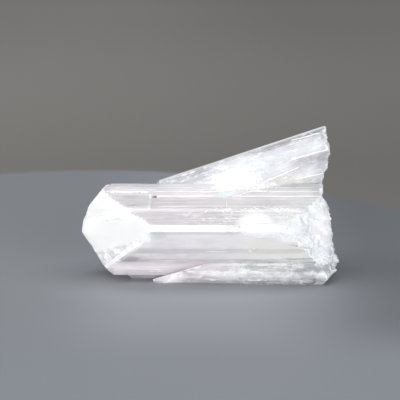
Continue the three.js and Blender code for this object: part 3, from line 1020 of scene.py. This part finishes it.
# %% Places on the tip, the second prism and the slabs
past_edge = ((along - 1.44 * height + 11.6 + 0.25 * crust).step(-0.15, 0.15) * height.step(-2.9, -3.6)
             * along.step(-14.5, -15.5) * depth.step(-2.0, 0.0))
tip_part = on_tip * (1 - past_edge)
# Painted shade: a dark wedge under the tip's ridge, on the part of the tip face painted as the face below.
ridge_shade = patch((-20.2, -7.5, 7.0), (2.9, 0.85, 7.0), 0.3, 0.4 * ragged) * past_edge
scratches = patch((-25.0, 4.8, 2.6), (5.0, 3.0, 6), 0.5) * hairlines
tip_edge = (along - 1.25 * height + 13.35 + 0.3 * crust).step(-1.7, -1.1) * height.step(-0.5, -1.5)
bruise = (height + 6.0 - 0.3 * depth + 0.5 * crust).step(0.4, -0.3) * on_tip * (1 - tip_edge)
cloud_second = patch((6.9, 12.3, -2.0), (7.6, 3.6, 12), 0.4, 2.2 * ragged)
cloud_second = cloud_second * (height + 0.3 * crust).step(9.0, 9.5)
cloud_over = patch((11.5, 16.6, -3.0), (7.0, 2.7, 12), 0.5)
cloud_top = patch((25.2, 20.6, -3.0), (6.0, 2.2, 12), 0.3, 0.7 * ragged)
cloud_end = patch((27.5, 0.5, 0.0), (3.6, 5.0, 16), 0.4)
cloudy = most(cloud_front, 0.75 * cloud_second, 0.4 * cloud_over, 0.25 * cloud_top, cloud_end)
dark_grit = grit.step(0.08, 0.4) * on_second * (1 - cloud_second)
pale_grit = grit.step(-0.15, -0.45) * on_second
below_line = height - 0.427 * along - 5.78 - 0.3 * crust
window_second = below_line.step(0.15, -0.15) * (along + 0.86 * height - 36.2).step(0.5, -0.5) * on_second
window = most(window_low, window_second)
seams = on_second * lines((12.8, 11.25, 23.0, 15.6, 0.2), (21.5, 12.3, 29.6, 14.1, 0.17),
                          (20.5, 22.3, 28.8, 24.5, 0.15))
top_line = second_height.step(7.0, 7.2) * second_depth.step(0.25, 0.05) * on_second * (0.85 + 0.4 * blotch)
glassy_top = (second_height + 0.15 * crust).step(6.55, 6.75) * along.step(8.0, 16.0) * on_second
glassy_top = glassy_top * (1 - top_line).clip()
wavy = height - 0.3 * along - 11.0 - 0.7 * blotch - 0.5 * crust
grey_end = wavy.within(-4.2, -1.0, -0.1, 0.1) * along.step(19.5, 22.5) * on_second
bright_rim = abs(wavy).step(0.22, 0.1) * along.step(19.0, 22.0) * on_second
etching = (along + 5.0 * blotch).step(-3.0, 9.0) * on_etched
plate_tip = on_etched * (along + 2.0 * crust).step(-5.0, -9.0)

# %% How frosted each finish is
# Painted shade under the tip's ridge, with dark grey stripes and lines that are marks on the stone.
shade_and_dark_lines = (ridge_shade * (0.6 + 0.4 * fine.step(-0.05, 0.25)) + 0.3 * striated * fine.step(-0.05, 0.25)
              + 0.9 * dark_stripes * on_growth * (0.6 + crust + 0.6 * sugar)).clip()
growth_frost = (0.5 + (1 - 0.75 * calm) * (0.03 * fine + 0.12 * wide + 0.16 * blotch)
                + 0.12 * upper_layer + 0.22 * calm + 0.16 * height.step(-7.6, -9.5)
                + 0.14 * height.within(0.6, 1.2, 8.2, 8.6) + 0.35 * shade_and_dark_lines - 0.1 * edge_gap)
second_frost = (0.53 + 0.05 * wide + 0.1 * blotch + 0.3 * mottle
                + fine * (0.03 + 0.3 * along.step(3.0, -2.0)))
tip_frost = 0.95 - 0.5 * scratches - bruise * (0.25 - 0.5 * crust) + 0.1 * tip_edge + 0.05 * blotch
broken_frost = 0.86 + 0.05 * sugar + 0.15 * crust - 0.15 * low_down
crusty = (0.6 * crust + 0.8 * wide).step(-0.5, 0.4)
etched_frost = 0.62 + 0.14 * sugar + 0.24 * crusty - 0.12 * low_down
growth_part = on_growth + on_etched - etching + on_tip * past_edge
frost = (growth_frost * growth_part + second_frost * on_second + tip_frost * tip_part
         + broken_frost * on_broken + etched_frost * etching)
worn = (rub * grain(place, 2.2, (2, 1, 1), seed=19.0).step(-0.5, 0.3)
        * (1 - 0.9 * off_edge) * (1 - 0.9 * past_edge))
nicked = nicks * (upper_layer + cloud_end + striated + 0.5 * cloud_second).clip()
whitened = most(0.85 * cloudy, worn, (0.22 + 0.25 * crust) * front_edge, 0.9 * feathers, nicked, streak,
                0.6 * spark, 0.85 * flurry, pale_lines, 0.1 * plate_tip, 0.5 * pale_grit)
frost = (frost * (1 - 0.12 * window - 0.3 * grey_end - 0.3 * window_rim - 0.3 * glassy_top)
         + 0.45 * whitened + 0.4 * bright_rim + 0.3 * pit_shade + 0.2 * snow + 0.3 * plate_tip).clip()
chalky = most(0.8 * tip_part * height.step(1.5, 4.5), 0.75 * flurry, 0.9 * cloud_front, 0.6 * cloud_second,
              0.8 * feathers, 0.8 * pale_lines, 0.85 * worn, 0.9 * shade_and_dark_lines, pit_shade, 0.9 * bright_rim,
              0.9 * seams, 0.9 * top_line, 0.5 * window_left, 0.55 * dark_grit, 0.6 * pale_grit,
              0.2 * window_low, (0.3 + 0.6 * sugar.step(0.0, 0.35)) * on_broken,
              (0.15 + 0.5 * (crust + 0.6 * sugar).step(-0.1, 0.4)) * etching)
outside = 1 - in_mm.node("NewGeometry", output="Backfacing")

# %% Its colours
MAUVE = (0.905, 0.785, 0.85, 1)
PALE = (0.95, 0.935, 0.95, 1)
BLUISH = (0.83, 0.91, 1.0, 1)
BEIGE = (1.0, 0.975, 0.89, 1)
PLAIN = (0.935, 0.93, 0.935, 1)
COLD = (0.93, 0.97, 1.0, 1)
WHITE = (0.985, 0.985, 0.99, 1)
GREY = (0.81, 0.83, 0.865, 1)
DUSTY = (0.66, 0.677, 0.685, 1)
DARK = (0.5, 0.515, 0.545, 1)
# Painted shade under the tip's ridge, and dark grey lines.
SHADE_AND_LINE_GREY = (0.36, 0.355, 0.375, 1)
# Painted shade, for two small pits and the line along the floor.
SHADE_BLACK = (0.25, 0.25, 0.27, 1)

growth_colour = painted(
    MAUVE,
    (0.5 + 0.6 * wide + 0.3 * blotch + 0.4 * calm + 0.4 * upper_layer + 0.4 * height.step(8.6, 9.2), PALE),
    (0.75 * along.step(4.0, 12.0), PLAIN),
    (0.4 * edge_gap, MAUVE),
    (0.3 * lower_faces + calm * (0.1 + 0.6 * curl + 0.3 * blotch), DUSTY),
    (top_ledges + 0.15 * upper_layer, DUSTY),
    (0.45 * snow, GREY),
    (0.7 * edge_sides, DUSTY),
    (shade_and_dark_lines, SHADE_AND_LINE_GREY))
second_colour = painted(GREY, (0.45 + 0.2 * wide + 1.1 * mottle, BLUISH))
tip_marks = most(scratches, bruise * (0.5 - 0.8 * sugar), tip_edge * (0.35 - 0.9 * sugar - 0.6 * crust))
broken_colour = painted(BLUISH, (0.5 + 0.2 * sugar + 0.6 * crust, COLD),
                        (0.3 + 0.9 * blotch - 1.1 * sugar, GREY))
etched_colour = painted(DUSTY, (0.12 + 0.65 * crusty + 0.4 * sugar + 0.5 * blotch, PLAIN),
                        # Painted shade: the plate's lowest strip is darker near the floor.
                        (height.step(-12.0, -13.2) * (0.7 + 0.9 * blotch), DUSTY),
                        (nicks * (0.5 + crust), WHITE))
rough_ground = (on_broken + etching).clip()
speckled = patch((27.5, -11.4, 0.0), (6.5, 3.0, 14), 0.35) * (0.45 - 0.9 * crust + 0.6 * sugar)
# Dark specks on the plate and the break, and painted shade low down, near the floor.
specks_and_low_shade = most(0.85 * low_down * (0.9 - crust), 1.8 * speckled, 0.5 * sugar.step(-0.2, -0.5) * on_broken)
rim_speckles = along.step(28.4, 30.2) * (0.45 + 0.7 * sugar) * on_broken
# Greyer patches in and round the clear windows, on the second prism's glassy top, grey end, left part and
# dark grit, and on the plate's left end; and painted shade on the strip just over the floor, left of the
# middle.
greys_and_low_shade = (0.8 * grey_end + 0.5 * window_rim + 0.55 * window_left + 0.6 * glassy_top
          + 0.4 * along.step(4.0, -4.0) * on_second + 0.25 * window_second
          + 0.4 * on_etched * along.step(-3.0, -6.0)
          + 0.75 * height.step(-11.0, -12.6) * along.step(-10.0, 0.0) + 0.45 * dark_grit)
colour = painted(
    growth_colour,
    (on_second, second_colour),
    (tip_part, painted(WHITE, (tip_marks, GREY))),
    (on_broken, broken_colour),
    (etching, etched_colour),
    (0.8 * window, BEIGE),
    (specks_and_low_shade * rough_ground + 0.85 * rim_speckles, DARK),
    (greys_and_low_shade, DARK),
    # Painted shade: black in two small pits and in a thin line where the stone meets the floor.
    (pit_shade + 0.6 * above_floor.step(0.5, 0.12), SHADE_BLACK),
    (most(whitened, bright_rim, seams, top_line), WHITE))

# %% Its fine relief
TREAD = 0.4  # from one little step in the front cloud to the next
steps = ((1 / TREAD) * height + 0.8 * wide + 0.5 * crust).math("FRACT")
relief = (0.004 * fine * (1 - rough_ground - 0.8 * calm) + 0.03 * sugar * rough_ground
          + 0.008 * layers * on_tip + 0.22 * curl * edge_gap
          + TREAD * steps * cloud_front * height.step(0.8, 1.2))
normal = relief.node("Bump", {"Strength": 1.0, "Distance": MM, "Height": relief})

# %% Clear stone under frosting and chalk
IOR = 1.63
clear = normal.node("BsdfPrincipled", {
    "Base Color": (1.0, 0.985, 0.992, 1), "Roughness": 0.04, "IOR": IOR, "Transmission Weight": 1.0,
    "Normal": normal})
milky = normal.node("BsdfPrincipled", {
    "Base Color": colour, "Roughness": 0.3, "IOR": 1.5, "Subsurface Weight": 1.0,
    "Subsurface Radius": (1.0, 0.95, 1.0), "Subsurface Scale": 2.5 * MM, "Normal": normal})
chalk = normal.node("BsdfPrincipled", {"Base Color": colour, "Roughness": 0.5, "IOR": 1.4, "Normal": normal})
frosted = frost.node("MixShader", {0: frost * outside, 1: clear, 2: milky})
surface = frost.node("MixShader", {0: chalky * outside, 1: frosted, 2: chalk})
absorbing = frost.node("VolumeAbsorption", {"Color": (1.0, 0.9, 0.95, 1), "Density": 9.0})
frost.node("OutputMaterial", {"Surface": surface, "Volume": absorbing})

skin.data.materials.clear()
skin.data.materials.append(stone)
skin.data.polygons.foreach_set("material_index", [0] * len(skin.data.polygons))
for name in FINISHES:
    bpy.data.materials.remove(bpy.data.materials[name])

# %% What the sealed pieces are made of
flake_finish, own = new_material("healed_crack")
shimmer = grain(own, 0.8)
flake_colour = painted((0.86, 0.87, 0.92, 1), (0.5 + shimmer, (0.97, 0.95, 0.96, 1)))
flake_shader = own.node("BsdfPrincipled", {
    "Base Color": flake_colour, "Roughness": 0.3 + 0.15 * shimmer, "IOR": 1.45})
own.node("OutputMaterial", {"Surface": flake_shader})

core_finish, own = new_material("milky_core")
cloudiness = grain(own, 4.0, (3, 1, 1), detail=4.0)
core_colour = painted((0.93, 0.88, 0.915, 1), (0.5 + 0.6 * cloudiness, (0.98, 0.975, 0.985, 1)))
core_shader = own.node("BsdfPrincipled", {"Base Color": core_colour, "Roughness": 0.7})
own.node("OutputMaterial", {"Surface": core_shader})

# %% Hand the pieces over
for piece in sealed:
    piece.data.materials.append(flake_finish)
for piece in cores:
    piece.data.materials.append(core_finish)
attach(skin, BODY)
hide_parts(NODE)
for piece in sealed + cores:
    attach(piece, BODY)

# %% [markdown]
# ## The studio
#
# The stone stands on a plain floor, pale and cool near it and darker and warmer behind. Light and
# shade are painted on the floor too: a pool of light by the stone that is darker to the left, right
# and front, a shadow under the stone, darker towards the right behind it, and dark in front, behind
# the camera, where the front light would fall. Three soft lights shine on it: one above, one at the
# left that the tip face mirrors, and a wide one low in front, behind the camera, that the long
# ledges mirror. The rest is even light from all round.

# %% Camera
AIM = np.array([-2.42, 0, 19.5]) * MM
DISTANCE = 0.40
ELEVATION = math.radians(10)
FIELD = 102.0 * MM  # what the view takes in across, at the distance of the stone
SENSOR = 36.0

camera_data = bpy.data.cameras.new("camera")
camera = bpy.data.objects.new("camera", camera_data)
bpy.context.scene.collection.objects.link(camera)
bpy.context.scene.camera = camera
camera.location = AIM + DISTANCE * np.array([0, -math.cos(ELEVATION), math.sin(ELEVATION)])
camera.rotation_euler = (math.pi / 2 - ELEVATION, 0, 0)
camera_data.sensor_width = SENSOR
camera_data.lens = SENSOR * DISTANCE / FIELD
camera_data.clip_start = 0.01
camera_data.clip_end = 20

# %% Floor
FLOOR_RADIUS = 4000  # in millimetres, like the places below
FLOOR_NEAR = (0.4, 0.421, 0.464, 1)
# Painted shade: the floor is darker to the left, the right and the front of the pool of light by the stone.
FLOOR_LEFT_SHADE = (0.345, 0.363, 0.39, 1)
FLOOR_RIGHT_SHADE = (0.218, 0.236, 0.256, 1)
FLOOR_FRONT_SHADE = (0.338, 0.361, 0.398, 1)
WARM_NEAR = (0.302, 0.287, 0.265, 1)  # behind the stone it is paler where less light falls
WARM_FAR = (0.896, 0.851, 0.784, 1)
# The painted shadow under the stone.
SHADOW_UNDER_STONE = (0.16, 0.15, 0.145, 1)
UNLIT = (0.0, 0.0, 0.0, 1)


def disc(name, radius, rings=24, sides=96):
    """A flat disc: point (r, a) is (r cos a, r sin a, 0), with rings closer near the middle."""
    r = radius * (np.arange(1, rings + 1) / rings)[:, None] ** 2
    a = np.arange(sides) * 2 * math.pi / sides
    return plain_mesh(name, spread(r * np.cos(a), r * np.sin(a), 0),
                      ring_faces(rings, sides, caps=(True, False)))


floor = disc("floor", FLOOR_RADIUS)
floor_finish, own = new_material("floor_finish")
right, back, _ = own.axes()
# Painted light: a pool of light by the stone, painted darker to the left, the right and the front.
near_painted_light = painted(FLOOR_NEAR, (right.step(-15, -45), FLOOR_LEFT_SHADE), (right.step(5, 50), FLOOR_RIGHT_SHADE),
                      (back.step(-45, -82), FLOOR_FRONT_SHADE))
# Painted shade: behind the stone the floor is darker towards the right.
far_colour = painted(WARM_NEAR, ((1 / 1100) * (back - 190), WARM_FAR), (0.2 * right.step(-120, 120), UNLIT))
floor_colour = painted(near_painted_light, (away(own, (-40, -150, 0), (1 / 2.16, 1, 1)).step(318, 328), far_colour),
                       # Painted shadow under and round the stone.
                       (0.33 * away(own, (0, 0, 0), (47, 23, 1)).step(1.15, 0.6), SHADOW_UNDER_STONE),
                       # Painted shade: in front, behind the camera, the floor is dark where the front light
                       # would fall on it.
                       (0.9 * back.step(-420, -620), UNLIT))
floor_shader = own.node("BsdfPrincipled", {"Base Color": floor_colour, "Roughness": 0.6})
own.node("OutputMaterial", {"Surface": floor_shader})
floor.data.materials.append(floor_finish)


# %% Lights
def softbox(name, place, size, power, aim=(0, 0, 0.015)):
    """A rectangular light facing a point."""
    data = bpy.data.lights.new(name, "AREA")
    data.shape = "RECTANGLE"
    data.size, data.size_y = size
    data.energy = power
    lamp = bpy.data.objects.new(name, data)
    lamp.location = place
    lamp.rotation_euler = (Vector(place) - Vector(aim)).to_track_quat("Z", "Y").to_euler()
    bpy.context.scene.collection.objects.link(lamp)


softbox("top_light", (-0.05, 0.05, 0.78), (1.2, 0.4), 2.4)
softbox("window_light", (-0.75, -0.12, 0.22), (0.6, 0.4), 2.4)
softbox("front_light", (0.2, -0.84, 0.14), (1.5, 0.26), 9.8)

world = bpy.data.worlds.new("even_light")
bpy.context.scene.world = world
world.use_nodes = True
world.node_tree.nodes["Background"].inputs["Color"].default_value = (0.16, 0.164, 0.175, 1)
bpy.context.scene.view_settings.view_transform = "Standard"
